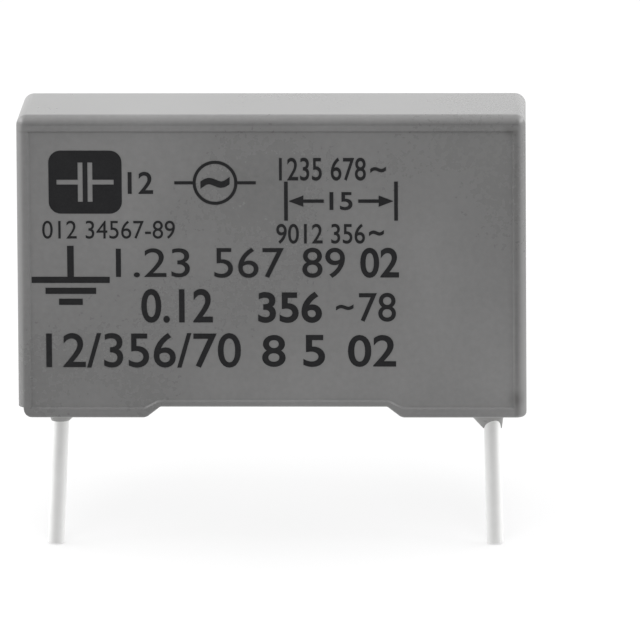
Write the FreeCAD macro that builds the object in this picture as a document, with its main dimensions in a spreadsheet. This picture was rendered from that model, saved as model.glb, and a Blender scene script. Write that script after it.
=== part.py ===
import FreeCAD, Part
import math
import os

import Sketcher

# Box film capacitor: a moulded case, potted from its open side, around a flattened film winding
# with a sprayed metal contact and a wire lead on each end.
# Millimetres. The origin is midway between the leads on the seating plane, X runs from lead to
# lead, Z points up through the roof of the case, and the printed face looks towards -Y.

doc = FreeCAD.newDocument("box_film_capacitor")

# Driving dimensions: alias, value
DIMENSIONS = [
    # Case, outside
    ("lead_pitch", 15.26),       # between the lead axes where they leave the resin
    ("end_reach", 1.27),         # from a lead axis to the outside of the case's end
    ("case_shift", -0.065),      # the case sits this far off the midpoint of the leads
    ("case_depth", 5.0),         # front to back at the mouth
    ("case_height", 10.74),      # seating plane to roof
    ("outer_draft", 0.2),        # degrees
    ("edge_radius", 0.38),       # upright edges and roof edges
    # Case, feet and the slot between them
    ("standoff", 0.42),          # the slot's edge above the seating plane
    ("foot_left", 4.4),          # each foot's length along the seating plane
    ("foot_right", 4.25),
    ("foot_slope", 0.5),         # run of the slope between foot and slot
    ("foot_round", 0.3),         # foot to slope
    ("slot_round", 0.12),        # slope to slot
    ("rim_round", 0.18),         # outside edge of the rim
    ("relief_height", 0.44),     # the left end steps in above its foot
    ("relief_inset", 0.16),
    ("relief_toe", 0.42),        # where the foot's round toe meets the seating plane
    ("relief_round", 0.22),
    # Case, shallow panels that carry the print, and the land left round them
    ("panel_depth", 0.06),
    ("panel_slope", 45),         # degrees that the panel's sides lean
    ("land_top", 0.16),
    ("land_side", 0.03),
    ("land_foot", 0.15),
    ("land_slot", 0.02),
    # Case, inside
    ("wall", 0.6),               # side and end walls at the mouth
    ("roof", 0.7),
    ("inner_draft", 0.35),       # degrees
    ("inner_radius", 0.3),
    # Potting resin
    ("resin_margin", 0.06),      # the resin stays this far inside the slot's edge
    ("dish_inset", 0.3),         # the resin's surface is hollow inside this border
    ("dish_depth", 0.12),
    ("dish_softness", 0.9),      # share of the hollow's depth that its border rounds off
    ("collar_radius", 1.15),     # where the resin creeps along a lead
    ("collar_gap", 0.03),        # collar to end wall
    ("collar_film", 0.03),       # resin left beside the wire at the collar's tip
    ("collar_waist", 0.04),      # how far the collar's flank is hollow
    ("collar_left", 0.6),        # reach below the seating plane
    ("collar_right", 0.89),
    ("collar_face_left", 0.31),  # half the tip, front to back: a narrow tip leaves the wire bare
    ("collar_face_right", 0.09),
    # Leads
    ("wire", 0.6),               # diameter
    ("lead_drop", 5.06),         # seating plane to the cut end
    ("lean_left", 2.75),         # outward lean in degrees
    ("lean_right", 1.2),
    ("tip_bevel", 0.06),         # edge of the cut end
    ("bend_radius", 1.5),        # each lead leans from where it leaves the resin
    ("weld_length", 6.1),        # the wire lies along the sprayed metal this far up
    ("weld_depth", 0.07),        # the wire sinks this far into the sprayed metal
    # Winding and its sprayed ends
    ("spray", 0.38),             # thickness of the sprayed metal
    ("spray_bevel", 0.12),
    ("side_gap", 0.2),           # winding to case wall
    ("roof_gap", 0.35),          # winding to roof
    ("winding_cover", 0.65),     # resin between its hollow surface and the winding
]

sizes = doc.addObject("Spreadsheet::Sheet", "sizes")
for row, (alias, value) in enumerate(DIMENSIONS, 1):
    cell = "A%d" % row
    sizes.set(cell, str(value))
    sizes.setAlias(cell, alias)
doc.recompute()

# Sizes worked out from the driving ones, as expressions for the features below
CASE_LENGTH = "(sizes.lead_pitch + 2 * sizes.end_reach)"
CAVITY_LENGTH = "(%s - 2 * sizes.wall)" % CASE_LENGTH
CAVITY_DEPTH = "(sizes.case_depth - 2 * sizes.wall)"
CAVITY_TOP = "(sizes.case_height - sizes.roof)"
RESIN_LEVEL = "(sizes.standoff + sizes.resin_margin)"
DISH_FLOOR = "(%s + sizes.dish_depth)" % RESIN_LEVEL
WINDING_BASE = "(%s + sizes.winding_cover)" % DISH_FLOOR
WINDING_TOP = "(%s - sizes.roof_gap)" % CAVITY_TOP
WINDING_HEIGHT = "(%s - %s)" % (WINDING_TOP, WINDING_BASE)
CAVITY_TAPER = "(%s * tan(sizes.inner_draft))" % CAVITY_TOP
WINDING_THICKNESS = "(%s - 2 * (sizes.side_gap + %s))" % (CAVITY_DEPTH, CAVITY_TAPER)
CONTACT_FACE = "(sizes.lead_pitch / 2 - sizes.wire / 2 + sizes.weld_depth - %s)"


def size(expression):
    """Value of an expression in the sheet's sizes."""
    return float(sizes.evalExpression(expression))


def origin_plane(body, role):
    return next(f for f in body.Origin.OriginFeatures if f.Role == role)


def new_body(name, shift="0"):
    body = doc.addObject("PartDesign::Body", name)
    body.setExpression("Placement.Base.x", shift)
    return body


def new_sketch(body, name, role, offset=(None, None, None), tilt=None):
    """Sketch on one of the body's origin planes, moved along the plane's own x, y and z."""
    sketch = body.newObject("Sketcher::SketchObject", name)
    sketch.AttachmentSupport = [(origin_plane(body, role), "")]
    sketch.MapMode = "FlatFace"
    for axis, expression in zip("xyz", offset):
        if expression:
            sketch.setExpression("AttachmentOffset.Base." + axis, expression)
    if tilt:
        direction, angle = tilt
        sketch.AttachmentOffset = FreeCAD.Placement(
            FreeCAD.Vector(), FreeCAD.Rotation(FreeCAD.Vector(*direction), 1.0)
        )
        sketch.setExpression("AttachmentOffset.Rotation.Angle", angle)
    doc.recompute()
    return sketch


def bind(sketch, kind, items, expression):
    """Dimension whose value follows an expression."""
    index = sketch.addConstraint(Sketcher.Constraint(kind, *items, size(expression)))
    sketch.setExpression("Constraints[%d]" % index, expression)


def draw_polygon(sketch, corners):
    """Closed outline whose corners are pairs of expressions."""
    points = [FreeCAD.Vector(size(x), size(y), 0) for x, y in corners]
    count = len(points)
    for i in range(count):
        sketch.addGeometry(Part.LineSegment(points[i], points[(i + 1) % count]), False)
    for i in range(count):
        sketch.addConstraint(Sketcher.Constraint("Coincident", i, 2, (i + 1) % count, 1))
    for i, (x, y) in enumerate(corners):
        bind(sketch, "DistanceX", (-1, 1, i, 1), x)
        bind(sketch, "DistanceY", (-1, 1, i, 1), y)


def draw_box(sketch, length, width):
    """Rectangle centred on the sketch's origin."""
    x, y = length + " / 2", width + " / 2"
    draw_polygon(sketch, [("-" + x, "-" + y), (x, "-" + y), (x, y), ("-" + x, y)])


def draw_circle(sketch, x, radius):
    centre = FreeCAD.Vector(size(x), 0, 0)
    sketch.addGeometry(Part.Circle(centre, FreeCAD.Vector(0, 0, 1), size(radius)), False)
    sketch.addConstraint(Sketcher.Constraint("PointOnObject", 0, 3, -1))
    bind(sketch, "DistanceX", (-1, 1, 0, 3), x)
    bind(sketch, "Radius", (0,), radius)


def draw_ellipse(sketch, half_length, half_width):
    """Ellipse centred on the sketch's origin, longer along x."""
    major, minor = size(half_length), size(half_width)
    sketch.addGeometry(Part.Ellipse(FreeCAD.Vector(), major, minor), False)
    sketch.exposeInternalGeometry(0)
    sketch.addConstraint(Sketcher.Constraint("Coincident", 0, 3, -1, 1))
    sketch.addConstraint(Sketcher.Constraint("Horizontal", 1))
    bind(sketch, "Distance", (1,), "2 * " + half_length)
    bind(sketch, "Distance", (2,), "2 * " + half_width)


def draw_oblong(sketch, width, height, middle):
    """Upright outline with round ends, centred on the sketch's y axis at the given height."""
    r = size(width) / 2
    low = size(middle) - size(height) / 2 + r
    high = size(middle) + size(height) / 2 - r
    up = FreeCAD.Vector(0, 0, 1)
    top = Part.Circle(FreeCAD.Vector(0, high, 0), up, r)
    bottom = Part.Circle(FreeCAD.Vector(0, low, 0), up, r)
    sketch.addGeometry(Part.ArcOfCircle(top, 0, math.pi), False)
    sketch.addGeometry(Part.LineSegment(FreeCAD.Vector(-r, high, 0), FreeCAD.Vector(-r, low, 0)), False)
    sketch.addGeometry(Part.ArcOfCircle(bottom, math.pi, 2 * math.pi), False)
    sketch.addGeometry(Part.LineSegment(FreeCAD.Vector(r, low, 0), FreeCAD.Vector(r, high, 0)), False)
    for first, last in ((0, 1), (1, 2), (2, 3), (3, 0)):
        sketch.addConstraint(Sketcher.Constraint("Tangent", first, 2, last, 1))
    sketch.addConstraint(Sketcher.Constraint("Vertical", 1))
    sketch.addConstraint(Sketcher.Constraint("PointOnObject", 0, 3, -2))
    bind(sketch, "Radius", (0,), width + " / 2")
    bind(sketch, "DistanceY", (-1, 1, 0, 3), "%s + (%s - %s) / 2" % (middle, height, width))
    bind(sketch, "DistanceY", (-1, 1, 2, 3), "%s - (%s - %s) / 2" % (middle, height, width))


def pad(body, name, sketch, length, reverse=False, middle=False):
    feature = body.newObject("PartDesign::Pad", name)
    feature.Profile = sketch
    feature.setExpression("Length", length)
    feature.Reversed = reverse
    feature.Midplane = middle
    doc.recompute()
    return feature


def pocket(body, name, sketch, length, reverse=False, middle=False):
    """Cut that has to remove something."""
    before = body.Shape.Volume
    feature = body.newObject("PartDesign::Pocket", name)
    feature.Profile = sketch
    feature.setExpression("Length", length)
    feature.Reversed = reverse
    feature.Midplane = middle
    doc.recompute()
    if not body.Shape.Volume < before:
        raise RuntimeError(name + " cuts nothing")
    return feature


def named_edges(shape, wanted):
    return ["Edge%d" % i for i, edge in enumerate(shape.Edges, 1) if wanted(edge)]


def named_faces(shape, wanted):
    return ["Face%d" % i for i, face in enumerate(shape.Faces, 1) if wanted(face)]


def fillet(body, name, base, wanted, radius):
    feature = body.newObject("PartDesign::Fillet", name)
    feature.Base = (base, named_edges(base.Shape, wanted))
    feature.setExpression("Radius", radius)
    doc.recompute()
    return feature


def chamfer(body, name, base, wanted, width):
    feature = body.newObject("PartDesign::Chamfer", name)
    feature.Base = (base, named_edges(base.Shape, wanted))
    feature.setExpression("Size", width)
    doc.recompute()
    return feature


def draft(body, name, base, angle):
    """Lean the upright sides inwards from the seating plane."""
    def upright(face):
        return abs(face.normalAt(0, 0).z) < 0.5

    feature = body.newObject("PartDesign::Draft", name)
    feature.Base = (base, named_faces(base.Shape, upright))
    feature.NeutralPlane = (origin_plane(body, "XY_Plane"), [""])
    feature.setExpression("Angle", angle)
    doc.recompute()
    if feature.Shape.Volume > base.Shape.Volume:
        feature.Reversed = True
        doc.recompute()
    return feature


def combine(kind, name, **links):
    """Boolean of finished shapes."""
    feature = doc.addObject(kind, name)
    for link, target in links.items():
        setattr(feature, link, target)
    if hasattr(feature, "Refine"):
        feature.Refine = True
    doc.recompute()
    return feature


def middle_of(edge):
    return edge.valueAt((edge.FirstParameter + edge.LastParameter) / 2)


def is_upright(edge):
    box = edge.BoundBox
    return box.ZLength > 5 * max(box.XLength, box.YLength)


def is_across(edge):
    """Straight edge that runs from front to back."""
    box = edge.BoundBox
    return box.YLength > 5 * max(box.XLength, box.ZLength)


# Case: the outside is one drafted block with round edges
def make_case_block():
    body = new_body("case_block", "sizes.case_shift")
    outline = new_sketch(body, "case_outline", "XY_Plane")
    draw_box(outline, CASE_LENGTH, "sizes.case_depth")
    block = pad(body, "case_height_pad", outline, "sizes.case_height")
    leaning = draft(body, "case_draft", block, "sizes.outer_draft")
    roof = size("sizes.case_height")

    def outer_edge(edge):
        return is_upright(edge) or edge.BoundBox.ZMin > roof - 0.01

    fillet(body, "case_edges", leaning, outer_edge, "sizes.edge_radius")
    cut_slot(body)
    round_rim(body)
    cut_relief(body)
    cut_panels(body)
    return body


# Case: the slot that leaves a foot at each end, with sloping shoulders
def cut_slot(body):
    half = CASE_LENGTH + " / 2"
    left = "(sizes.foot_left - %s)" % half
    right = "(%s - sizes.foot_right)" % half
    sketch = new_sketch(body, "slot_outline", "XZ_Plane")
    draw_polygon(sketch, [
        (left, "0"),
        (right, "0"),
        (right + " - sizes.foot_slope", "sizes.standoff"),
        (left + " + sizes.foot_slope", "sizes.standoff"),
    ])
    slot = pocket(body, "slot", sketch, "2 * sizes.case_depth", middle=True)
    limit = size(half) - size("sizes.edge_radius")
    edge_height = size("sizes.standoff")

    def foot_corner(edge):
        return is_across(edge) and abs(edge.BoundBox.ZMax) < 0.01 and abs(middle_of(edge).x) < limit

    def slot_corner(edge):
        return is_across(edge) and abs(edge.BoundBox.ZMax - edge_height) < 0.01

    rounded = fillet(body, "foot_corners", slot, foot_corner, "sizes.foot_round")
    fillet(body, "slot_corners", rounded, slot_corner, "sizes.slot_round")


# Case: the outside edge of the rim is eased, round the feet and along the slot
def round_rim(body):
    base = body.Tip

    def steepness(face, point):
        return face.normalAt(*face.Surface.parameter(point)).z

    def outside_rim(edge):
        point = middle_of(edge)
        faces = base.Shape.ancestorsOfType(edge, Part.Face)
        slants = [steepness(face, point) for face in faces]
        return min(slants) < -0.1 and max(slants) > -0.1

    fillet(body, "rim_edges", base, outside_rim, "sizes.rim_round")


# Case: the left end steps in above its foot, whose toe is round
def cut_relief(body):
    end = "-(%s / 2)" % CASE_LENGTH
    outside = end + " - sizes.wall"
    step = end + " + sizes.relief_inset"
    toe = end + " + sizes.relief_toe"
    sketch = new_sketch(body, "relief_outline", "XZ_Plane")
    top = size("sizes.relief_height")
    r = size("sizes.relief_round")
    low = -size("sizes.wall")
    centre = FreeCAD.Vector(size(toe), r, 0)
    corners = [
        FreeCAD.Vector(size(outside), low, 0),
        FreeCAD.Vector(size(outside), top, 0),
        FreeCAD.Vector(size(step), top, 0),
        FreeCAD.Vector(size(toe) - r, r, 0),
        FreeCAD.Vector(size(toe), 0, 0),
        FreeCAD.Vector(size(toe), low, 0),
    ]
    for i in (0, 1, 2):
        sketch.addGeometry(Part.LineSegment(corners[i], corners[i + 1]), False)
    circle = Part.Circle(centre, FreeCAD.Vector(0, 0, 1), r)
    sketch.addGeometry(Part.ArcOfCircle(circle, math.pi, 1.5 * math.pi), False)
    for i in (4, 5):
        sketch.addGeometry(Part.LineSegment(corners[i], corners[(i + 1) % 6]), False)
    for i in (0, 1, 4):
        sketch.addConstraint(Sketcher.Constraint("Coincident", i, 2, i + 1, 1))
    sketch.addConstraint(Sketcher.Constraint("Coincident", 5, 2, 0, 1))
    sketch.addConstraint(Sketcher.Constraint("Tangent", 2, 2, 3, 1))
    sketch.addConstraint(Sketcher.Constraint("Coincident", 3, 2, 4, 1))
    sketch.addConstraint(Sketcher.Constraint("PointOnObject", 3, 2, -1))
    sketch.addConstraint(Sketcher.Constraint("Vertical", 3, 2, 3, 3))
    sketch.addConstraint(Sketcher.Constraint("Vertical", 0))
    sketch.addConstraint(Sketcher.Constraint("Horizontal", 1))
    sketch.addConstraint(Sketcher.Constraint("Vertical", 4))
    sketch.addConstraint(Sketcher.Constraint("Horizontal", 5))
    bind(sketch, "DistanceX", (-1, 1, 0, 1), outside)
    bind(sketch, "DistanceY", (-1, 1, 0, 1), "-sizes.wall")
    bind(sketch, "DistanceX", (-1, 1, 1, 2), step)
    bind(sketch, "DistanceY", (-1, 1, 1, 2), "sizes.relief_height")
    bind(sketch, "DistanceX", (-1, 1, 3, 2), toe)
    bind(sketch, "Radius", (3,), "sizes.relief_round")
    pocket(body, "relief", sketch, "2 * sizes.case_depth", middle=True)


# Case: a shallow panel in the front face, and its twin in the back face
def cut_panels(body):
    half = CASE_LENGTH + " / 2"
    top = "(sizes.case_height - sizes.edge_radius - sizes.land_top)"
    foot_edge = "(sizes.rim_round + sizes.land_foot)"
    slot_edge = "(sizes.standoff + sizes.rim_round + sizes.land_slot)"
    side = "(%s - sizes.edge_radius - sizes.land_side - %s * tan(sizes.outer_draft))"
    low_side = side % (half, foot_edge)
    high_side = side % (half, top)
    left = "(sizes.foot_left - %s)" % half
    right = "(%s - sizes.foot_right)" % half
    sketch = new_sketch(
        body, "panel_outline", "XZ_Plane", (None, None, "sizes.case_depth / 2"),
        ((1, 0, 0), "-sizes.outer_draft"),
    )
    draw_polygon(sketch, [
        ("-" + low_side, foot_edge),
        (left, foot_edge),
        (left + " + sizes.foot_slope", slot_edge),
        (right + " - sizes.foot_slope", slot_edge),
        (right, foot_edge),
        (low_side, foot_edge),
        (high_side, top),
        ("-" + high_side, top),
    ])
    panel = pocket(body, "panel", sketch, "sizes.panel_depth")
    panel.setExpression("TaperAngle", "-sizes.panel_slope")
    doc.recompute()
    twin = body.newObject("PartDesign::Mirrored", "panel_twin")
    twin.Originals = [panel]
    twin.MirrorPlane = (origin_plane(body, "XZ_Plane"), [""])
    body.Tip = twin
    doc.recompute()


# The room inside the case, which also bounds the resin
def make_cavity():
    body = new_body("cavity", "sizes.case_shift")
    outline = new_sketch(body, "cavity_outline", "XY_Plane")
    draw_box(outline, CAVITY_LENGTH, CAVITY_DEPTH)
    block = pad(body, "cavity_height_pad", outline, CAVITY_TOP)
    leaning = draft(body, "cavity_draft", block, "sizes.inner_draft")
    roof = size(CAVITY_TOP)

    def inner_edge(edge):
        return is_upright(edge) or edge.BoundBox.ZMin > roof - 0.01

    fillet(body, "cavity_edges", leaning, inner_edge, "sizes.inner_radius")
    return body


# Lead: an upright run welded to the sprayed end, a slight bend under the resin, and a leaning leg
def make_lead(name, side, lean, exit_depth):
    body = new_body(name)
    bend_x = "%d * (sizes.lead_pitch / 2 + sizes.bend_radius)" % side
    bend = (bend_x, None, "-" + exit_depth)

    def wire_circle(label, tilt=None):
        sketch = new_sketch(body, "%s_%s_circle" % (name, label), "XY_Plane", bend, tilt)
        draw_circle(sketch, "%d * sizes.bend_radius" % -side, "sizes.wire / 2")
        return sketch

    run = "%s + sizes.weld_length + %s" % (WINDING_BASE, exit_depth)
    pad(body, name + "_upright", wire_circle("upright"), run)
    turn = body.newObject("PartDesign::Revolution", name + "_bend")
    turn.Profile = wire_circle("bend")
    turn.ReferenceAxis = (turn.Profile[0], ["V_Axis"])
    turn.setExpression("Angle", lean)
    turn.Reversed = side > 0
    doc.recompute()
    leg = wire_circle("leg", ((0, 1, 0), "%d * %s" % (-side, lean)))
    drop = "(sizes.lead_drop - %s - sizes.bend_radius * sin(%s)) / cos(%s)" % (exit_depth, lean, lean)
    straight = pad(body, name + "_leg", leg, drop, reverse=True)
    low = 0.1 - size("sizes.lead_drop")

    def tip_edge(edge):
        return edge.BoundBox.ZMax < low

    chamfer(body, name + "_tip", straight, tip_edge, "sizes.tip_bevel")
    return body


# Film winding: one flattened roll
def make_winding():
    body = new_body("film_winding")
    outline = new_sketch(body, "winding_outline", "YZ_Plane")
    middle = "((%s + %s) / 2)" % (WINDING_TOP, WINDING_BASE)
    draw_oblong(outline, WINDING_THICKNESS, WINDING_HEIGHT, middle)
    pad(body, "winding_roll", outline, "2 * " + CONTACT_FACE % "sizes.spray", middle=True)
    return body


# Sprayed metal contact on one end of the winding, with the groove where the wire is sunk in
def make_spray(name, side, lead):
    body = new_body(name + "_metal")
    inner = CONTACT_FACE % "sizes.spray"
    outline = new_sketch(body, name + "_outline", "YZ_Plane", (None, None, "%d * %s" % (side, inner)))
    middle = "((%s + %s) / 2)" % (WINDING_TOP, WINDING_BASE)
    draw_oblong(outline, WINDING_THICKNESS, WINDING_HEIGHT, middle)
    layer = pad(body, name + "_layer", outline, "sizes.spray", reverse=side < 0)
    face = size(CONTACT_FACE % "0")

    def outer_edge(edge):
        return abs(abs(middle_of(edge).x) - face) < 0.01

    chamfer(body, name + "_edge", layer, outer_edge, "sizes.spray_bevel")
    return combine("Part::Cut", name, Base=body, Tool=lead)


# Everything below the resin's surface: open air up to a level, and a hollow with a soft border
def make_air():
    body = new_body("air", "sizes.case_shift")
    flat = new_sketch(body, "air_outline", "XY_Plane", (None, None, RESIN_LEVEL))
    draw_box(flat, CASE_LENGTH, "sizes.case_depth")
    pad(body, "air_level", flat, "2 * " + RESIN_LEVEL, reverse=True)
    hollow = new_sketch(body, "hollow_outline", "XY_Plane", (None, None, RESIN_LEVEL))
    draw_box(
        hollow,
        "(%s - 2 * sizes.dish_inset)" % CAVITY_LENGTH,
        "(%s - 2 * sizes.dish_inset)" % CAVITY_DEPTH,
    )
    dish = pad(body, "hollow", hollow, "sizes.dish_depth")
    floor = size(DISH_FLOOR)

    def dish_corner(edge):
        level = size(RESIN_LEVEL) - 0.01
        return edge.BoundBox.ZMin > level and edge.BoundBox.ZLength > 0.5 * size("sizes.dish_depth")

    def dish_border(edge):
        return edge.BoundBox.ZMin > floor - 0.01

    corners = fillet(body, "hollow_corners", dish, dish_corner, "sizes.dish_inset")
    fillet(body, "hollow_border", corners, dish_border, "sizes.dish_softness * sizes.dish_depth")
    return body


# Collar of resin that crept along a lead: wide in the hollow, down to a film beside the wire
def make_collar(name, side, reach, face):
    body = new_body(name)
    wall_x = "(%s / 2 + %d * sizes.case_shift)" % (CAVITY_LENGTH, side)
    root_x = "(%s - sizes.collar_gap - sizes.collar_radius)" % wall_x
    tip_x = "(sizes.lead_pitch / 2)"
    tip_length = "(sizes.wire / 2 + sizes.collar_film)"
    flank = "((sizes.collar_radius + %s - sizes.collar_waist) / 2)"

    def ring(label, x, level):
        place = ("%d * %s" % (side, x), None, level)
        return new_sketch(body, "%s_%s" % (name, label), "XY_Plane", place)

    root = ring("root", root_x, DISH_FLOOR + " + sizes.dish_depth")
    draw_circle(root, "0", "sizes.collar_radius")
    middle = ring("flank", "((%s + %s) / 2)" % (root_x, tip_x), "(%s - %s) / 2" % (DISH_FLOOR, reach))
    draw_ellipse(middle, flank % tip_length, flank % face)
    tip = ring("tip", tip_x, "-" + reach)
    draw_ellipse(tip, tip_length, face)
    loft = body.newObject("PartDesign::AdditiveLoft", name + "_loft")
    loft.Profile = root
    loft.Sections = [middle, tip]
    doc.recompute()
    return body


# Potting resin: fills the case round everything that is inside
def make_resin(cavity, inside):
    air = make_air()
    fill = combine("Part::Cut", "resin_fill", Base=cavity, Tool=air)
    left = make_collar("collar_left", -1, "sizes.collar_left", "sizes.collar_face_left")
    right = make_collar("collar_right", 1, "sizes.collar_right", "sizes.collar_face_right")
    whole = combine("Part::MultiFuse", "resin_whole", Shapes=[fill, left, right])
    inner = combine("Part::MultiFuse", "inside_pieces", Shapes=inside)
    return combine("Part::Cut", "potting_resin", Base=whole, Tool=inner)


case_block = make_case_block()
cavity = make_cavity()
case = combine("Part::Cut", "case", Base=case_block, Tool=cavity)
lead_left = make_lead("lead_left", -1, "sizes.lean_left", "sizes.collar_left")
lead_right = make_lead("lead_right", 1, "sizes.lean_right", "sizes.collar_right")
film_winding = make_winding()
end_spray_left = make_spray("end_spray_left", -1, lead_left)
end_spray_right = make_spray("end_spray_right", 1, lead_right)
inner_pieces = [film_winding, end_spray_left, end_spray_right, lead_left, lead_right]
potting_resin = make_resin(cavity, inner_pieces)
doc.recompute()

nodes = [case, potting_resin] + inner_pieces
failed = [o.Name for o in doc.Objects if "Invalid" in o.State or "Error" in o.State]
if failed:
    raise RuntimeError("failed objects: " + ", ".join(failed))
for node in nodes:
    if node.Shape.isNull() or not node.Shape.isValid():
        raise RuntimeError(node.Label + " has no valid shape")
    if len(node.Shape.Solids) != 1:
        raise RuntimeError("%s has %d solids" % (node.Label, len(node.Shape.Solids)))

os.makedirs("parts", exist_ok=True)
for node in nodes:
    node.Shape.exportStep("parts/%s.step" % node.Label)
    print(node.Label, round(node.Shape.Volume, 4))
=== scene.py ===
import math

import bmesh
import bpy
from mathutils import Matrix, Vector


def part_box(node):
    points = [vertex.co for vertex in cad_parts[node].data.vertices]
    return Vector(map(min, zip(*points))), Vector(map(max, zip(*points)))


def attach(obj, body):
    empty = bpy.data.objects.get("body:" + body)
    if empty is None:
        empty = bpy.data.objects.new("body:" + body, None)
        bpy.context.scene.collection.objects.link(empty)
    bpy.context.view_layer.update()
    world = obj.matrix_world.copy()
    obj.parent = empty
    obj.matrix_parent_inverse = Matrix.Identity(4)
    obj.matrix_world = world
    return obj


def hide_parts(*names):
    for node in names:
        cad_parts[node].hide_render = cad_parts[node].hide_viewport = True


# Box film capacitor: moulded case, wire leads and print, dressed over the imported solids
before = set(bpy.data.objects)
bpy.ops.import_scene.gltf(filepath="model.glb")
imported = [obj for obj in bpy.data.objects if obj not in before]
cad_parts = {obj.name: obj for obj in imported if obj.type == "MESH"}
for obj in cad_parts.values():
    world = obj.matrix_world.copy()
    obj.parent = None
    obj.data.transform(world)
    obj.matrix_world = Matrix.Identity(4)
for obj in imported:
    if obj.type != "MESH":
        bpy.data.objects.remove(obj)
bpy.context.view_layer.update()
mm = 0.001
hair = 0.002 * mm  # how near two places count as one
print("frame loaded:", ", ".join(sorted(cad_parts)))

caseLow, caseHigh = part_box("case")
leadLow = min(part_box("lead_left")[0].z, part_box("lead_right")[0].z)


# small helpers

def clearSelection():
    if bpy.context.object and bpy.context.object.mode == "EDIT":
        bpy.ops.object.mode_set(mode="OBJECT")
    bpy.ops.object.select_all(action="DESELECT")


def takeOnly(obj):
    clearSelection()
    obj.select_set(True)
    bpy.context.view_layer.objects.active = obj


def startEdit(obj):
    takeOnly(obj)
    bpy.ops.object.mode_set(mode="EDIT")


def endEdit():
    bpy.ops.object.mode_set(mode="OBJECT")


def pick(kind, test):
    # selects the VERT, EDGE or FACE items of the edited mesh that pass the test
    bpy.ops.mesh.select_mode(type=kind)
    bpy.ops.mesh.select_all(action="DESELECT")
    mesh = bmesh.from_edit_mesh(bpy.context.object.data)
    items = {"VERT": mesh.verts, "EDGE": mesh.edges, "FACE": mesh.faces}[kind]
    for item in items:
        if test(item):
            item.select_set(True)
    mesh.select_flush_mode()
    bmesh.update_edit_mesh(bpy.context.object.data)


def near(a, b, gap=hair):
    return abs(a - b) < gap


def middleOf(edge):
    return (edge.verts[0].co + edge.verts[1].co) / 2


def joinAll(objs, name):
    clearSelection()
    for obj in objs:
        obj.select_set(True)
    bpy.context.view_layer.objects.active = objs[0]
    if len(objs) > 1:
        bpy.ops.object.join()
    joined = bpy.context.object
    joined.name = joined.data.name = name
    return joined


def applyPlace(obj):
    takeOnly(obj)
    bpy.ops.object.transform_apply(location=True, rotation=True, scale=True)


def addBlock(name, low, high):
    clearSelection()
    bpy.ops.mesh.primitive_cube_add(size=1, location=(low + high) / 2)
    block = bpy.context.object
    block.name = name
    block.scale = high - low
    applyPlace(block)
    return block


def cutAway(obj, cutter):
    takeOnly(obj)
    cut = obj.modifiers.new("cut", "BOOLEAN")
    cut.operation = "DIFFERENCE"
    cut.solver = "EXACT"
    cut.object = cutter
    bpy.ops.object.modifier_apply(modifier=cut.name)
    bpy.data.objects.remove(cutter, do_unlink=True)


def closeUp(obj, gap=0.0005 * mm):
    startEdit(obj)
    bpy.ops.mesh.select_all(action="SELECT")
    bpy.ops.mesh.remove_doubles(threshold=gap)
    bpy.ops.mesh.normals_make_consistent(inside=False)
    endEdit()


def shadeByAngle(obj, degrees):
    takeOnly(obj)
    bpy.ops.object.shade_smooth_by_angle(angle=math.radians(degrees))
    even = obj.modifiers.new("even", "WEIGHTED_NORMAL")
    even.keep_sharp = True
    bpy.ops.object.modifier_apply(modifier=even.name)


def newNodes(material):
    material.use_nodes = True
    nodes = material.node_tree.nodes
    nodes.clear()
    return nodes, material.node_tree.links


def mathOn(nodes, links):
    # gives a function that adds one Math node and feeds it numbers or sockets
    def work(operation, *values):
        node = nodes.new("ShaderNodeMath")
        node.operation = operation
        for value, socket in zip(values, node.inputs):
            if isinstance(value, (int, float)):
                socket.default_value = value
            else:
                links.new(value, socket)
        return node.outputs["Value"]

    return work


def rampOn(nodes, links):
    # gives a function that maps a value smoothly from one range to another
    def ramp(value, start, end, low, high):
        node = nodes.new("ShaderNodeMapRange")
        node.interpolation_type = "SMOOTHSTEP"
        for socket, number in (("From Min", start), ("From Max", end), ("To Min", low), ("To Max", high)):
            node.inputs[socket].default_value = number
        links.new(value, node.inputs["Value"])
        return node.outputs["Result"]

    return ramp


# case: one moulded shell, open below, with feet, slot, left relief and print panels (in mm)

caseShape = {
    "draft": 0.2,  # lean of the outer walls, in degrees
    "edge": 0.38,  # round of the roof and upright edges
    "edgeSteps": 12,
    "standoff": 0.385,  # the slot's edge above the feet
    "footLeft": 4.48,
    "footRight": 4.375,
    "slope": 0.5,  # run of the shoulder between foot and slot
    "footRound": 0.3,
    "slotRound": 0.12,
    "cornerSteps": 5,
    "rim": 0.18,  # round of the open rim
    "rimSteps": 7,
    "reliefHeight": 0.44,  # step in the left end, above its round toe
    "reliefSlant": 0.06,
    "reliefInset": 0.19,
    "reliefToe": 0.55,
    "reliefRound": 0.36,
    "reliefSteps": 8,
    "panelDepth": 0.06,
    "landTop": 0.16,  # what stays proud round the panel
    "landSide": 0.03,
    "landFoot": 0.15,
    "wall": 0.6,
    "roof": 0.7,
    "innerDraft": 0.35,
    "innerEdge": 0.3,
    "innerSteps": 6,
    "open": 0.3,  # how far the cavity's cutter runs below the feet
    "smooth": 26,  # edges that turn less than this are shaded smooth, in degrees
}


def slotPlaces():
    left = caseLow.x + caseShape["footLeft"] * mm
    right = caseHigh.x - caseShape["footRight"] * mm
    slope = caseShape["slope"] * mm
    return left, left + slope, right - slope, right


def addSlottedBlock(name, low, high, lift):
    # a block whose underside is raised between the feet
    block = addBlock(name, low, high)
    places = slotPlaces()
    startEdit(block)
    for x in places:
        bpy.ops.mesh.select_all(action="SELECT")
        bpy.ops.mesh.bisect(plane_co=(x, 0, 0), plane_no=(1, 0, 0))
    pick("VERT", lambda v: near(v.co.z, low.z) and places[0] + hair < v.co.x < places[3] - hair)
    bpy.ops.transform.translate(value=(0, 0, lift))
    return block


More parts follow.
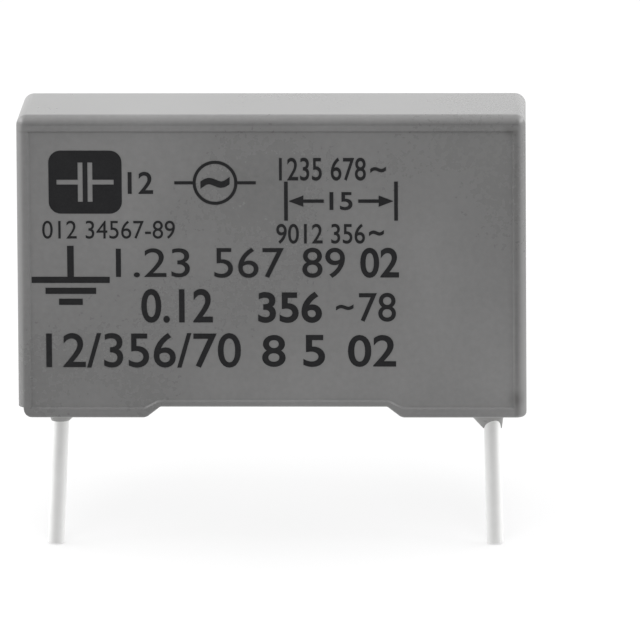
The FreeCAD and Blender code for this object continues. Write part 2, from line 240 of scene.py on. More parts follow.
def leanIn(low, high, degrees):
    # draws the roof of the edited block in, so that its sides lean
    size = high - low
    lean = 2 * size.z * math.tan(math.radians(degrees))
    pick("VERT", lambda v: near(v.co.z, high.z))
    bpy.ops.transform.resize(
        value=((size.x - lean) / size.x, (size.y - lean) / size.y, 1),
        center_override=((low.x + high.x) / 2, 0, high.z),
    )


def isRoofOrUpright(edge, high):
    a, b = edge.verts[0].co, edge.verts[1].co
    onRoof = near(a.z, high.z) and near(b.z, high.z)
    steep = abs(a.z - b.z) > 20 * max(abs(a.x - b.x), abs(a.y - b.y))
    atEnd = abs(abs(a.x) - abs(high.x)) < 0.5 * mm
    sharp = len(edge.link_faces) == 2 and edge.calc_face_angle(0) > 1
    return sharp and (onRoof or (steep and atEnd))


def roundCorner(z, radius):
    # rounds the across-running corners of the slot at one level
    turn = math.atan2(caseShape["standoff"], caseShape["slope"])
    places = slotPlaces()

    def corner(edge):
        middle = middleOf(edge)
        across = abs(edge.verts[0].co.y - edge.verts[1].co.y) > 1 * mm
        inside = places[0] - hair < middle.x < places[3] + hair
        return across and inside and near(middle.z, z)

    pick("EDGE", corner)
    reach = radius * math.tan(turn / 2)
    bpy.ops.mesh.bevel(offset=reach, segments=caseShape["cornerSteps"], affect="EDGES")


def isRim(edge):
    # where a wall meets the underside, which looks down by more than a tenth
    faces = edge.link_faces
    slants = sorted(face.normal.z for face in faces)
    return len(faces) == 2 and slants[0] < -0.1 and slants[1] > -0.1


def makeReliefCutter():
    # its run below the feet is folded round the toe, as deep as the case and a little more
    past = 1 * mm
    depth = caseHigh.y + past
    toe = caseLow.x + caseShape["reliefToe"] * mm
    r = caseShape["reliefRound"] * mm
    top = caseShape["reliefHeight"] * mm
    step = caseLow.x + caseShape["reliefInset"] * mm
    outside = caseLow.x - caseShape["wall"] * mm
    cutter = addBlock(
        "reliefCutter", Vector((outside, -depth, -past)), Vector((toe, depth, 0))
    )
    startEdit(cutter)
    bpy.ops.mesh.select_all(action="SELECT")
    bpy.ops.mesh.bisect(plane_co=(toe - r, 0, 0), plane_no=(1, 0, 0))
    pick("FACE", lambda f: f.normal.z > 0.5 and f.calc_center_median().x < toe - r)
    for rise in (r, top - r):
        bpy.ops.mesh.extrude_region_move(TRANSFORM_OT_translate={"value": (0, 0, rise)})
    pick("VERT", lambda v: near(v.co.z, top) and near(v.co.x, toe - r))
    bpy.ops.transform.translate(value=(step - toe + r, 0, -caseShape["reliefSlant"] * mm))
    pick("EDGE", lambda e: (middleOf(e) - Vector((toe - r, 0, 0))).length < hair)
    # a whole radius would run into the corners beside it
    bpy.ops.mesh.bevel(offset=0.99 * r, segments=caseShape["reliefSteps"], affect="EDGES")
    endEdit()
    return cutter


def mergeWalls():
    # flat neighbours become one face, so that each wall is whole
    bpy.ops.mesh.select_all(action="SELECT")
    bpy.ops.mesh.dissolve_limited(angle_limit=math.radians(1))


def isWall(face):
    # the front and back are by far the largest faces
    return abs(face.normal.y) > 0.99 and face.calc_area() > 50 * mm * mm


def sinkPanels():
    # leaves a land on the front and back wall, wider below the roof and over the feet
    s = caseShape
    footZ = (s["rim"] + s["landFoot"]) * mm
    topZ = caseHigh.z - (s["edge"] + s["landTop"]) * mm
    deep = s["panelDepth"] * mm
    pick("FACE", isWall)
    bpy.ops.mesh.inset(thickness=s["landSide"] * mm)
    mesh = bmesh.from_edit_mesh(bpy.context.object.data)
    inner = {vert.index for face in mesh.faces if isWall(face) for vert in face.verts}
    for level, test in (
        (topZ, lambda v: v.co.z > topZ),
        (footZ, lambda v: v.co.z < footZ),
    ):
        pick("VERT", lambda v: v.index in inner and test(v))
        bpy.ops.transform.resize(value=(1, 1, 0), center_override=(0, 0, level))
    pick("FACE", isWall)
    bpy.ops.mesh.inset(thickness=deep, depth=-deep)


def makeCavityCutter():
    s = caseShape
    wall = s["wall"] * mm
    low = Vector((caseLow.x + wall, caseLow.y + wall, -s["open"] * mm))
    high = Vector((caseHigh.x - wall, caseHigh.y - wall, caseHigh.z - s["roof"] * mm))
    cutter = addBlock("cavityCutter", low, high)
    startEdit(cutter)
    leanIn(low, high, s["innerDraft"])
    pick("EDGE", lambda e: isRoofOrUpright(e, high))
    bpy.ops.mesh.bevel(offset=s["innerEdge"] * mm, segments=s["innerSteps"], affect="EDGES")
    endEdit()
    return cutter


def makeCaseShell():
    s = caseShape
    shell = addSlottedBlock("caseShell", caseLow, caseHigh, s["standoff"] * mm)
    leanIn(caseLow, caseHigh, s["draft"])
    mergeWalls()
    pick("EDGE", lambda e: isRoofOrUpright(e, caseHigh))
    bpy.ops.mesh.bevel(offset=s["edge"] * mm, segments=s["edgeSteps"], affect="EDGES")
    roundCorner(0, s["footRound"] * mm)
    roundCorner(s["standoff"] * mm, s["slotRound"] * mm)
    mergeWalls()
    pick("EDGE", isRim)
    bpy.ops.mesh.bevel(offset=s["rim"] * mm, segments=s["rimSteps"], affect="EDGES")
    sinkPanels()
    endEdit()
    cutAway(shell, makeReliefCutter())
    cutAway(shell, makeCavityCutter())
    closeUp(shell)
    shadeByAngle(shell, s["smooth"])
    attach(shell, "root")
    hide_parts("case")
    return shell


# leads: tinned wire, upright in the resin, then leaning outwards (in mm and degrees)

leadShape = {
    "thick": 0.6,
    "sides": 64,
    "bend": 1.5,  # radius of the bend below the resin
    "tip": 0.07,
    "tipSteps": 4,
    "smooth": 40,
    "left": {"node": "lead_left", "side": -1, "lean": 2.75, "exit": 0.6},
    "right": {"node": "lead_right", "side": 1, "lean": 1.2, "exit": 0.89},
}


def makeLead(name, setup):
    low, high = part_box(setup["node"])
    radius = leadShape["thick"] / 2 * mm
    side = setup["side"]
    x = low.x + radius if side > 0 else high.x - radius
    angle = math.radians(setup["lean"])
    bend = leadShape["bend"] * mm
    start = -setup["exit"] * mm
    clearSelection()
    bpy.ops.mesh.primitive_circle_add(
        vertices=leadShape["sides"], radius=radius, fill_type="NGON", location=(x, 0, high.z)
    )
    lead = bpy.context.object
    lead.name = name
    applyPlace(lead)
    startEdit(lead)
    bpy.ops.mesh.select_all(action="SELECT")
    bpy.ops.mesh.extrude_region_move(TRANSFORM_OT_translate={"value": (0, 0, start - high.z)})
    run = Vector((side * bend * (1 - math.cos(angle)), 0, -bend * math.sin(angle)))
    bpy.ops.mesh.extrude_region_move(TRANSFORM_OT_translate={"value": run})
    elbow = Vector((x, 0, start)) + run
    bpy.ops.transform.rotate(value=side * angle, orient_axis="Y", center_override=elbow)
    reach = (elbow.z - low.z - radius * math.sin(angle)) / math.cos(angle)
    leg = Vector((side * math.sin(angle), 0, -math.cos(angle))) * reach
    bpy.ops.mesh.extrude_region_move(TRANSFORM_OT_translate={"value": leg})
    bpy.ops.mesh.bevel(offset=leadShape["tip"] * mm, segments=leadShape["tipSteps"], affect="EDGES")
    endEdit()
    closeUp(lead)
    shadeByAngle(lead, leadShape["smooth"])
    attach(lead, "root")
    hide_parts(setup["node"])
    return lead


# print: plain digits and simple signs, a thin film of ink on the front panel (in mm)
# a box is left, right, bottom and top, counted from the case's middle and its feet
# a line has its words, its box and how much its strokes are thickened

printShape = {
    "proud": 0.010,
    "thick": 0.014,
    "curveSteps": 6,
    "weld": 0.0002,
    "waveWeight": 0.03,
    "lines": [
        ("12", (-4.98, -4.10, 7.98, 8.76), 0.012),
        ("1235 678", (0.29, 3.31, 8.44, 9.26), 0.008),
        ("9012 356", (0.18, 3.27, 6.21, 6.92), 0.008),
        ("012 34567-89", (-7.98, -3.35, 6.39, 7.03), 0.0),
        ("1.23", (-5.42, -2.84, 5.02, 6.05), 0.0),
        ("567", (-1.99, 0.44, 5.00, 6.07), 0.0),
        ("89", (1.08, 2.57, 5.00, 6.07), 0.004),
        ("02", (3.10, 4.45, 5.00, 6.07), 0.018),
        ("0.12", (-4.55, -2.05, 3.40, 4.61), 0.016),
        ("356", (-0.47, 1.76, 3.40, 4.51), 0.022),
        ("78", (3.05, 4.34, 3.44, 4.47), 0.004),
        ("12/356/70", (-7.89, -1.08, 1.80, 3.04), 0.008),
        ("8", (-0.34, 0.48, 1.83, 2.97), 0.012),
        ("5", (1.10, 1.86, 1.83, 2.97), 0.014),
        ("02", (2.66, 4.34, 1.83, 2.97), 0.014),
        ("15", (2.04, 2.84, 7.40, 8.04), 0.016),
    ],
    "waves": [
        (3.46, 4.01, 8.72, 8.94),
        (3.41, 3.93, 6.48, 6.70),
        (2.25, 2.86, 3.84, 4.06),
        (-2.45, -1.43, 8.16, 8.58),
    ],
    "plate": {
        "box": (-7.74, -5.19, 7.28, 9.51),
        "size": (2.55, 2.23),
        "round": 0.42,
        "roundSteps": 8,
        "bare": [
            (0.28, 1.02, 1.03, 1.20),
            (1.02, 1.19, 0.42, 1.81),
            (1.36, 1.53, 0.42, 1.81),
            (1.53, 2.27, 1.03, 1.20),
        ],
    },
    "ring": {
        "box": (-3.36, -0.52, 7.59, 9.15),
        "radius": 0.78,
        "width": 0.11,
        "sides": 96,
        "bars": [(-1.42, -0.78, -0.055, 0.055), (0.78, 1.42, -0.055, 0.055)],
    },
    "spacing": {
        "box": (0.46, 4.42, 7.03, 8.41),
        "point": 0.04,  # how blunt an arrow's point stays
        "bars": [
            (0, 0.13, 0, 1.38),
            (3.83, 3.96, 0, 1.38),
            (0.67, 1.38, 0.63, 0.75),
            (2.58, 3.29, 0.63, 0.75),
        ],
        "heads": [(0.17, 0.69, 0.5, 0.2), (3.79, 0.69, -0.5, 0.2)],
    },
    "ground": {
        "box": (-8.37, -5.64, 4.04, 6.14),
        "bars": [
            (1.25, 1.48, 1.0, 2.1),
            (0, 2.73, 0.78, 1.0),
            (0.48, 2.25, 0.39, 0.61),
            (0.95, 1.78, 0, 0.22),
        ],
    },
}


def caseMiddle():
    return (caseLow.x + caseHigh.x) / 2


def standOnPanel(obj, box):
    # fits a flat drawing, made in x and y and 1 thick, into its box on the front panel
    left, right, bottom, top = [value * mm for value in box]
    xs = [v.co.x for v in obj.data.vertices]
    ys = [v.co.y for v in obj.data.vertices]
    zs = [v.co.z for v in obj.data.vertices]
    wide = (right - left) / (max(xs) - min(xs))
    tall = (top - bottom) / (max(ys) - min(ys))
    thick = printShape["thick"] * mm / (max(zs) - min(zs))
    lean = math.radians(caseShape["draft"])
    z = bottom - tall * min(ys)
    panel = caseLow.y + caseShape["panelDepth"] * mm + z * math.tan(lean)
    front = panel - printShape["proud"] * mm
    obj.scale = (wide, tall, thick)
    obj.rotation_euler = (math.pi / 2 - lean, 0, 0)
    obj.location = (left + caseMiddle() - wide * min(xs), front + thick * max(zs), z)
    applyPlace(obj)
    return obj


def writeText(words, box, weight):
    clearSelection()
    bpy.ops.object.text_add()
    text = bpy.context.object
    text.data.body = words
    text.data.resolution_u = printShape["curveSteps"]
    text.data.extrude = 0.5
    text.data.offset = weight
    bpy.ops.object.convert(target="MESH")
    return standOnPanel(bpy.context.object, box)


def addBar(left, right, bottom, top):
    return addBlock("bar", Vector((left, bottom, -0.5)), Vector((right, top, 0.5)))


def addRing(radius, width, sides):
    clearSelection()
    bpy.ops.mesh.primitive_circle_add(
        vertices=sides, radius=radius, fill_type="NGON", location=(0, 0, -0.5)
    )
    ring = bpy.context.object
    applyPlace(ring)
    startEdit(ring)
    bpy.ops.mesh.select_all(action="SELECT")
    bpy.ops.mesh.inset(thickness=width)
    bpy.ops.mesh.delete(type="FACE")
    bpy.ops.mesh.select_all(action="SELECT")
    bpy.ops.mesh.extrude_region_move(TRANSFORM_OT_translate={"value": (0, 0, 1)})
    endEdit()
    return ring


def addArrowHead(x, y, reach, half, point):
    # a wedge that comes to its point at x
    left, right = sorted((x, x + reach))
    head = addBlock("arrow", Vector((left, y - half, -0.5)), Vector((right, y + half, 0.5)))
    startEdit(head)
    pick("VERT", lambda v: near(v.co.x, x))
    bpy.ops.transform.resize(value=(1, point, 1), center_override=(x, y, 0))
    endEdit()
    return head


def makePlateSign(shape):
    # dark plate with the sign for a two-plate capacitor left bare
    wide, tall = shape["size"]
    plate = addBar(0, wide, 0, tall)
    startEdit(plate)
    pick("EDGE", lambda e: near(middleOf(e).z, 0))
    bpy.ops.mesh.bevel(offset=shape["round"], segments=shape["roundSteps"], affect="EDGES")
    endEdit()
    for bare in shape["bare"]:
        cutter = addBar(*bare)
        cutter.scale = (1, 1, 2)  # through the whole plate
        applyPlace(cutter)
        cutAway(plate, cutter)
    return standOnPanel(plate, shape["box"])


def makeRingSign(shape):
    # ring with a lead on each side; its wave is one of the written ones
    ring = addRing(shape["radius"], shape["width"], shape["sides"])
    bars = [addBar(*bar) for bar in shape["bars"]]
    return standOnPanel(joinAll([ring] + bars, "ringSign"), shape["box"])


def makeSpacingSign(shape):
    # two upright ticks with arrows between them, and room for a number
    bars = [addBar(*bar) for bar in shape["bars"]]
    heads = [addArrowHead(*head, shape["point"]) for head in shape["heads"]]
    return standOnPanel(joinAll(bars + heads, "spacingSign"), shape["box"])


def makeGroundSign(shape):
    # a stem on three bars that get shorter
    bars = [addBar(*bar) for bar in shape["bars"]]
    return standOnPanel(joinAll(bars, "groundSign"), shape["box"])


def makePrint():
    s = printShape
    digits = [writeText(words, box, weight) for words, box, weight in s["lines"]]
    waves = [writeText("~", box, s["waveWeight"]) for box in s["waves"]]
    signs = [
        makePlateSign(s["plate"]),
        makeRingSign(s["ring"]),
        makeSpacingSign(s["spacing"]),
        makeGroundSign(s["ground"]),
    ]
    pieces = [joinAll(digits, "printDigits"), joinAll(waves + signs, "printSigns")]
    for piece in pieces:
        closeUp(piece, s["weld"] * mm)
        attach(piece, "root")
    return pieces


# shared surface effect: fine moulded texture over a slow drift
# the first three are what a finish gets that names none of its own

grainShape = {
    "Grain Scale": 9000.0,
    "Drift Scale": 260.0,
    "Grain Share": 0.45,
    "detail": 2.0,
    "rough": 0.5,
}


def makeMouldGrain():
    group = bpy.data.node_groups.new("mouldGrain", "ShaderNodeTree")
    face = group.interface
    for name in ("Grain Scale", "Drift Scale", "Grain Share"):
        socket = face.new_socket(name, in_out="INPUT", socket_type="NodeSocketFloat")
        socket.default_value = grainShape[name]
    for name in ("Shade", "Height"):
        face.new_socket(name, in_out="OUTPUT", socket_type="NodeSocketFloat")
    nodes, links = group.nodes, group.links
    start = nodes.new("NodeGroupInput")
    end = nodes.new("NodeGroupOutput")
    place = nodes.new("ShaderNodeTexCoord")

    def noise(scaleName):
        tex = nodes.new("ShaderNodeTexNoise")
        tex.inputs["Detail"].default_value = grainShape["detail"]
        tex.inputs["Roughness"].default_value = grainShape["rough"]
        links.new(place.outputs["Object"], tex.inputs["Vector"])
        links.new(start.outputs[scaleName], tex.inputs["Scale"])
        return tex.outputs["Fac"]

    grain = noise("Grain Scale")
    drift = noise("Drift Scale")
    blend = nodes.new("ShaderNodeMix")
    links.new(start.outputs["Grain Share"], blend.inputs["Factor"])
    links.new(drift, blend.inputs["A"])
    links.new(grain, blend.inputs["B"])
    links.new(blend.outputs["Result"], end.inputs["Shade"])
    links.new(grain, end.inputs["Height"])
    return group


mouldGrain = makeMouldGrain()


# painted shade along the front panel's upper and right border, where the sunken panel's step would cast
# it, thickest in its right corners (in mm)

borderShadeShape = {
    "top": {"at": 10.17, "reach": 0.075, "share": 0.20},
    "right": {"at": 8.495, "reach": 0.13, "share": 0.34},
    "corners": [
        {"x": 8.30, "z": 10.16, "reach": 0.34, "share": 0.55},
        {"x": 8.47, "z": 0.72, "reach": 0.48, "share": 0.36},
    ],
    "pastRight": 0.06,  # how far the upper line runs past the right one
    "pastTop": 0.04,
    "front": -2.32,  # nothing behind this
    "breaks": {"scale": 1500.0, "depth": 1.6, "least": 0.2},
}


def makeBorderShade():
    s = borderShadeShape
    group = bpy.data.node_groups.new("borderShade", "ShaderNodeTree")
    group.interface.new_socket("PaintedShade", in_out="OUTPUT", socket_type="NodeSocketFloat")
    nodes, links = group.nodes, group.links
    work, ramp = mathOn(nodes, links), rampOn(nodes, links)

    def fade(distance, reach, share):
        return ramp(distance, 0.0, reach * mm, share, 0.0)

    place = nodes.new("ShaderNodeTexCoord")
    split = nodes.new("ShaderNodeSeparateXYZ")
    links.new(place.outputs["Object"], split.inputs["Vector"])
    z = split.outputs["Z"]
    # upright borders lean in with the draft
    x = work("MULTIPLY_ADD", z, math.tan(math.radians(caseShape["draft"])), split.outputs["X"])
    top, right, breaks = s["top"], s["right"], s["breaks"]
    fromTop = work("ABSOLUTE", work("SUBTRACT", z, top["at"] * mm))
    fromRight = work("ABSOLUTE", work("SUBTRACT", x, right["at"] * mm))
    upper = fade(fromTop, top["reach"], top["share"])
    side = fade(fromRight, right["reach"], right["share"])
    upper = work("MULTIPLY", upper, work("LESS_THAN", x, (right["at"] + s["pastRight"]) * mm))
    side = work("MULTIPLY", side, work("LESS_THAN", z, (top["at"] + s["pastTop"]) * mm))
    paintedShade = work("MAXIMUM", upper, side)
    for corner in s["corners"]:
        across = work("SUBTRACT", x, corner["x"] * mm)
        along = work("SUBTRACT", z, corner["z"] * mm)
        square = work("ADD", work("MULTIPLY", across, across), work("MULTIPLY", along, along))
        paintedShade = work("ADD", paintedShade, fade(work("SQRT", square), corner["reach"], corner["share"]))
    noise = nodes.new("ShaderNodeTexNoise")
    noise.inputs["Scale"].default_value = breaks["scale"]
    links.new(place.outputs["Object"], noise.inputs["Vector"])
    patches = work("MULTIPLY_ADD", noise.outputs["Fac"], breaks["depth"], breaks["least"])
    paintedShade = work("MULTIPLY", paintedShade, patches)
    front = work("LESS_THAN", split.outputs["Y"], s["front"] * mm)
    end = nodes.new("NodeGroupOutput")
    links.new(work("MULTIPLY", paintedShade, front), end.inputs["PaintedShade"])
    return group


borderShade = makeBorderShade()


# painted light that leaves the rounded upright edges paler than the walls, and the roof's edges a little,
# as light from the sides would

edgeLightShape = {
    "start": 0.02,  # how far a face has turned from its wall
    "full": 0.22,
    "share": 0.55,
    "roofTurn": (0.1, 0.4),  # how far up a face looks where it counts as the roof's
    "roofShare": 0.4,
    "margin": 0.01,  # in mm, past the end of the rounding
}


def makeEdgeLight():
    s = edgeLightShape
    group = bpy.data.node_groups.new("edgeLight", "ShaderNodeTree")
    group.interface.new_socket("EdgeLight", in_out="OUTPUT", socket_type="NodeSocketFloat")
    nodes, links = group.nodes, group.links
    work, ramp = mathOn(nodes, links), rampOn(nodes, links)
    place = nodes.new("ShaderNodeTexCoord")
    split = nodes.new("ShaderNodeSeparateXYZ")
    links.new(place.outputs["Normal"], split.inputs["Vector"])
    across, along, up = [work("ABSOLUTE", split.outputs[axis]) for axis in "XYZ"]
    turned = work("SUBTRACT", 1.0, work("MAXIMUM", work("MAXIMUM", across, along), up))
    lightening = ramp(turned, s["start"], s["full"], 0.0, s["share"])
    lower = ramp(split.outputs["Z"], *s["roofTurn"], 1.0, s["roofShare"])
    # only within the reach of those edges, so that the panel's border keeps its tone
    spot = nodes.new("ShaderNodeSeparateXYZ")
    links.new(place.outputs["Object"], spot.inputs["Vector"])
    edge = (caseShape["edge"] + s["margin"]) * mm
    fromMiddle = work("ABSOLUTE", work("SUBTRACT", spot.outputs["X"], caseMiddle()))
    lean = math.tan(math.radians(caseShape["draft"]))
    reach = work("MULTIPLY_ADD", spot.outputs["Z"], lean, fromMiddle)
    onUpright = work("GREATER_THAN", reach, caseHigh.x - caseMiddle() - edge)
    onRoof = work("GREATER_THAN", spot.outputs["Z"], caseHigh.z - edge)
    zone = work("MAXIMUM", onUpright, onRoof)
    end = nodes.new("NodeGroupOutput")
    links.new(work("MULTIPLY", work("MULTIPLY", lightening, lower), zone), end.inputs["EdgeLight"])
    return group


edgeLight = makeEdgeLight()


# finishes: moulded and cast plastics, ink, wire, film and sprayed metal
# grain and drift are noise scales, height is in mm, and share is the grain's part against the drift

shadeEnds = (0.2, 0.8)  # the part of the grain's range that is used
plasticIor = 1.5

finishes = {
    "satinCase": {
        "dark": (0.100, 0.0995, 0.099), "light": (0.183, 0.182, 0.181), "rough": (0.25, 0.32),
        "bump": 0.10, "height": 0.008, "grain": 5200.0, "drift": 160.0, "share": 0.25,
        "metal": 0.0, "gloss": 0.5,
        # the darker of the last two colours is painted shade along the panel's border, the paler one
        # painted light on the rounded edges
        "paintedShade": (0.050, 0.048, 0.046), "worn": (0.235, 0.2335, 0.232),
    },
    "castResin": {
        "dark": (0.170, 0.170, 0.167), "light": (0.300, 0.298, 0.293), "rough": (0.22, 0.36),
        "bump": 0.25, "height": 0.02, "grain": 3200.0, "drift": 520.0, "share": 0.4,
        "metal": 0.0, "gloss": 0.5,
    },
    "printInk": {
        "dark": (0.006, 0.006, 0.007), "light": (0.016, 0.016, 0.017), "rough": (0.42, 0.60),
        "bump": 0.2, "height": 0.006, "grain": 12000.0, "drift": 2200.0, "share": 0.55,
        "metal": 0.0, "gloss": 0.15,
    },
    "tinnedWire": {
        "dark": (0.58, 0.58, 0.575), "light": (0.71, 0.71, 0.70), "rough": (0.46, 0.60),
        "bump": 0.25, "height": 0.012, "grain": 2600.0, "drift": 900.0, "share": 0.5,
        # the edge colour is a painted reflection, mixed in towards the wire's outline
        "metal": 1.0, "gloss": 0.5, "edge": (0.90, 0.90, 0.895), "edgeBlend": 0.8,
    },
    "metallisedFilm": {
        "dark": (0.46, 0.46, 0.47), "light": (0.62, 0.62, 0.63), "rough": (0.22, 0.34),
        "bump": 0.2, "height": 0.02, "grain": 5200.0, "drift": 300.0, "share": 0.3,
        "metal": 1.0, "gloss": 0.5,
    },
    "sprayedMetal": {
        "dark": (0.30, 0.30, 0.31), "light": (0.52, 0.52, 0.53), "rough": (0.55, 0.75),
        "bump": 0.7, "height": 0.05, "grain": 7000.0, "drift": 1500.0, "share": 0.7,
        "metal": 1.0, "gloss": 0.5,
    },
}


def mixColor(nodes, links, share, color, other):
    # 6, 7 and 2 are the color sockets of the Mix node
    mix = nodes.new("ShaderNodeMix")
    mix.data_type = "RGBA"
    links.new(share, mix.inputs["Factor"])
    links.new(color, mix.inputs[6])
    mix.inputs[7].default_value = (*other, 1)
    return mix.outputs[2]


def addGroup(nodes, group):
    node = nodes.new("ShaderNodeGroup")
    node.node_tree = group
    return node


def makeFinish(name):
    finish = finishes[name]
    material = bpy.data.materials.new(name)
    nodes, links = newNodes(material)
    out = nodes.new("ShaderNodeOutputMaterial")
    shader = nodes.new("ShaderNodeBsdfPrincipled")
    shader.inputs["IOR"].default_value = plasticIor
    shader.inputs["Metallic"].default_value = finish["metal"]
    shader.inputs["Specular IOR Level"].default_value = finish["gloss"]
    links.new(shader.outputs["BSDF"], out.inputs["Surface"])
    grain = addGroup(nodes, mouldGrain)
    grain.inputs["Grain Scale"].default_value = finish["grain"]
    grain.inputs["Drift Scale"].default_value = finish["drift"]
    grain.inputs["Grain Share"].default_value = finish["share"]
    tint = nodes.new("ShaderNodeValToRGB")
    for stop, position, tone in zip(tint.color_ramp.elements, shadeEnds, ("dark", "light")):
        stop.position = position
        stop.color = (*finish[tone], 1)
    links.new(grain.outputs["Shade"], tint.inputs["Fac"])
    color = tint.outputs["Color"]
    if "edge" in finish:
        # painted reflection: the colour is lightened where the wire turns away, as a bright surround
        # would show in it
        turn = nodes.new("ShaderNodeLayerWeight")
        turn.inputs["Blend"].default_value = finish["edgeBlend"]
        color = mixColor(nodes, links, turn.outputs["Facing"], color, finish["edge"])
    # painted light: the rounded edges are paled by the direction they face
    if "worn" in finish:
        edgeLighting = addGroup(nodes, edgeLight)
        color = mixColor(nodes, links, edgeLighting.outputs["EdgeLight"], color, finish["worn"])
    # painted shade along the panel's upper and right border and in its right corners
    if "paintedShade" in finish:
        borderShading = addGroup(nodes, borderShade)
        color = mixColor(nodes, links, borderShading.outputs["PaintedShade"], color, finish["paintedShade"])
    links.new(color, shader.inputs["Base Color"])
    gloss = nodes.new("ShaderNodeMapRange")
    gloss.inputs["From Min"].default_value, gloss.inputs["From Max"].default_value = shadeEnds
    gloss.inputs["To Min"].default_value, gloss.inputs["To Max"].default_value = finish["rough"]
    links.new(grain.outputs["Shade"], gloss.inputs["Value"])
    links.new(gloss.outputs["Result"], shader.inputs["Roughness"])
    bump = nodes.new("ShaderNodeBump")
    bump.inputs["Strength"].default_value = finish["bump"]
    bump.inputs["Distance"].default_value = finish["height"] * mm
    links.new(grain.outputs["Height"], bump.inputs["Height"])
    links.new(bump.outputs["Normal"], shader.inputs["Normal"])
    return material


def dress(obj, material):
    if obj.material_slots:
        obj.material_slots[0].material = material
    else:
        obj.data.materials.append(material)


# floor: bright paper

floorShape = {
    "reach": 1.6,  # in metres
    "bounce": (0.22, 0.22, 0.22),  # its color and glow for what it lights
    "lift": 0.56,
    "seen": (0.17, 0.17, 0.1705),  # its color and glow where it is seen or mirrored
    "glow": 0.642,
}


def makeFloorPaper():
    # most of it glows where it is seen, so that the shadow stays faint
    material = bpy.data.materials.new("floorPaper")
    nodes, links = newNodes(material)
    out = nodes.new("ShaderNodeOutputMaterial")
    rays = nodes.new("ShaderNodeLightPath")

    def litPaper(color, strength):
        paper = nodes.new("ShaderNodeBsdfDiffuse")
        paper.inputs["Color"].default_value = (*color, 1)
        glow = nodes.new("ShaderNodeEmission")
        glow.inputs["Strength"].default_value = strength
        both = nodes.new("ShaderNodeAddShader")
        links.new(paper.outputs["BSDF"], both.inputs[0])
        links.new(glow.outputs["Emission"], both.inputs[1])
        return both.outputs["Shader"]

    mix = nodes.new("ShaderNodeMixShader")
    shown = nodes.new("ShaderNodeMath")
    shown.operation = "MAXIMUM"
    links.new(rays.outputs["Is Camera Ray"], shown.inputs[0])
    links.new(rays.outputs["Is Glossy Ray"], shown.inputs[1])
    links.new(shown.outputs["Value"], mix.inputs[0])
    links.new(litPaper(floorShape["bounce"], floorShape["lift"]), mix.inputs[1])
    links.new(litPaper(floorShape["seen"], floorShape["glow"]), mix.inputs[2])
    links.new(mix.outputs["Shader"], out.inputs["Surface"])
    return material


def makeFloor():
    clearSelection()
    bpy.ops.mesh.primitive_plane_add(size=2 * floorShape["reach"], location=(0, 0, leadLow))
    floor = bpy.context.object
    floor.name = "floor"
    applyPlace(floor)
    floor.data.materials.append(makeFloorPaper())
    return floor


# light: levels of the tent by direction, and two soft lamps (places and sizes in metres)

lightSetup = {
    "back": 1.18,
    "overhead": 1.35,
    "roofRise": (0.2, 0.95),  # heights between which back turns into overhead
    "side": 4.4,
    "sideEdge": (0.4, 0.85),
    "sideRise": (0.14, 0.55),  # low down the sides stay plain, so that no flat edge-on face burns out
    "dark": 0.10,
    "darkTowards": (0.02, -0.945, 0.326),
    "darkEdge": (0.46, 0.72),
    "key": {"place": (-0.055, -0.32, 0.39), "size": 0.46, "power": 0.58},
    "floorKey": {"place": (-0.015, -0.35, 0.38), "size": 0.34, "power": 3.2},
}


def makeWorld():
    # a pale tent, brightest high up at the sides, with a dark opening where the camera stands
    world = bpy.data.worlds.new("studio")
    bpy.context.scene.world = world
    world.use_nodes = True
    nodes, links = world.node_tree.nodes, world.node_tree.links
    nodes.clear()
    work, ramp = mathOn(nodes, links), rampOn(nodes, links)
    out = nodes.new("ShaderNodeOutputWorld")
    sky = nodes.new("ShaderNodeBackground")
    sky.inputs["Color"].default_value = (1, 1, 1, 1)
    place = nodes.new("ShaderNodeTexCoord")
    split = nodes.new("ShaderNodeSeparateXYZ")
    links.new(place.outputs["Generated"], split.inputs["Vector"])
    s = lightSetup
    roof = ramp(split.outputs["Z"], *s["roofRise"], s["back"], s["overhead"])
    sides = ramp(work("ABSOLUTE", split.outputs["X"]), *s["sideEdge"], 0.0, s["side"])
    sides = work("MULTIPLY", sides, ramp(split.outputs["Z"], *s["sideRise"], 0.0, 1.0))
    facing = nodes.new("ShaderNodeVectorMath")
    facing.operation = "DOT_PRODUCT"
    facing.inputs[1].default_value = s["darkTowards"]
    links.new(place.outputs["Generated"], facing.inputs[0])
    opening = ramp(facing.outputs["Value"], *s["darkEdge"], 1.0, s["dark"])
    tent = work("MULTIPLY", work("ADD", roof, sides), opening)
    rays = nodes.new("ShaderNodeLightPath")
    level = nodes.new("ShaderNodeMix")
    level.inputs["B"].default_value = 1.0
    links.new(rays.outputs["Is Camera Ray"], level.inputs["Factor"])
    links.new(tent, level.inputs["A"])
    links.new(level.outputs["Result"], sky.inputs["Strength"])
    links.new(sky.outputs["Background"], out.inputs["Surface"])


def makeSoftbox(name, setup):
    spot = Vector(setup["place"])
    clearSelection()
    bpy.ops.object.light_add(type="AREA", location=spot)
    lamp = bpy.context.object
    lamp.name = name
    lamp.data.shape = "SQUARE"
    lamp.data.size = setup["size"]
    lamp.data.energy = setup["power"]
    lamp.rotation_euler = (-spot).to_track_quat("-Z", "Y").to_euler()
    return lamp


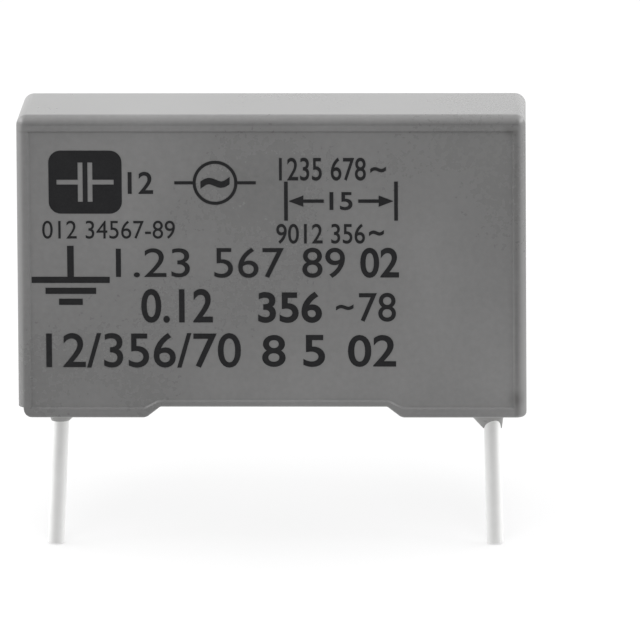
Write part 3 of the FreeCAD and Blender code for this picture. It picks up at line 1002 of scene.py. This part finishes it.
def lightOnly(lamp, obj):
    # the lamp shines on one object alone, which still takes the shadows of the others
    receivers = bpy.data.collections.new(lamp.name + "Receivers")
    receivers.objects.link(obj)
    lamp.light_linking.receiver_collection = receivers


# camera, at the photograph's place: spot in metres, angles in degrees

cameraSetup = {
    "spot": (8.664 * mm, -266.497 * mm, 57.857 * mm),
    "turn": 1.52716,
    "down": 11.62337,
    "roll": -0.29973,
    "lens": 434.758,
    "sensor": 36,
    "clip": (0.005, 20),
}


def makeCamera():
    clearSelection()
    bpy.ops.object.camera_add(location=cameraSetup["spot"])
    camera = bpy.context.object
    camera.name = "camera"
    turn = Matrix.Rotation(math.radians(cameraSetup["turn"]), 3, "Z")
    tip = Matrix.Rotation(math.radians(90 - cameraSetup["down"]), 3, "X")
    roll = Matrix.Rotation(math.radians(cameraSetup["roll"]), 3, "Z")
    camera.rotation_euler = (turn @ tip @ roll).to_euler()
    camera.data.sensor_width = cameraSetup["sensor"]
    camera.data.lens = cameraSetup["lens"]
    camera.data.clip_start, camera.data.clip_end = cameraSetup["clip"]
    bpy.context.scene.camera = camera


caseShell = makeCaseShell()
print("case shell:", len(caseShell.data.polygons), "faces")
leads = [makeLead("leadLeft", leadShape["left"]), makeLead("leadRight", leadShape["right"])]
print("leads made")
prints = makePrint()
print("print:", sum(len(piece.data.polygons) for piece in prints), "faces")

dress(caseShell, makeFinish("satinCase"))
ink = makeFinish("printInk")
for piece in prints:
    dress(piece, ink)
tinnedWire = makeFinish("tinnedWire")
for lead in leads:
    dress(lead, tinnedWire)
sprayedMetal = makeFinish("sprayedMetal")
for name in ("end_spray_left", "end_spray_right"):
    dress(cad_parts[name], sprayedMetal)
dress(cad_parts["film_winding"], makeFinish("metallisedFilm"))
dress(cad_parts["potting_resin"], makeFinish("castResin"))
print("finishes set")

makeCamera()
makeWorld()
floor = makeFloor()
makeSoftbox("keyLight", lightSetup["key"])
lightOnly(makeSoftbox("floorKey", lightSetup["floorKey"]), floor)
bpy.context.scene.view_settings.view_transform = "Standard"
print("floor, light and camera set")
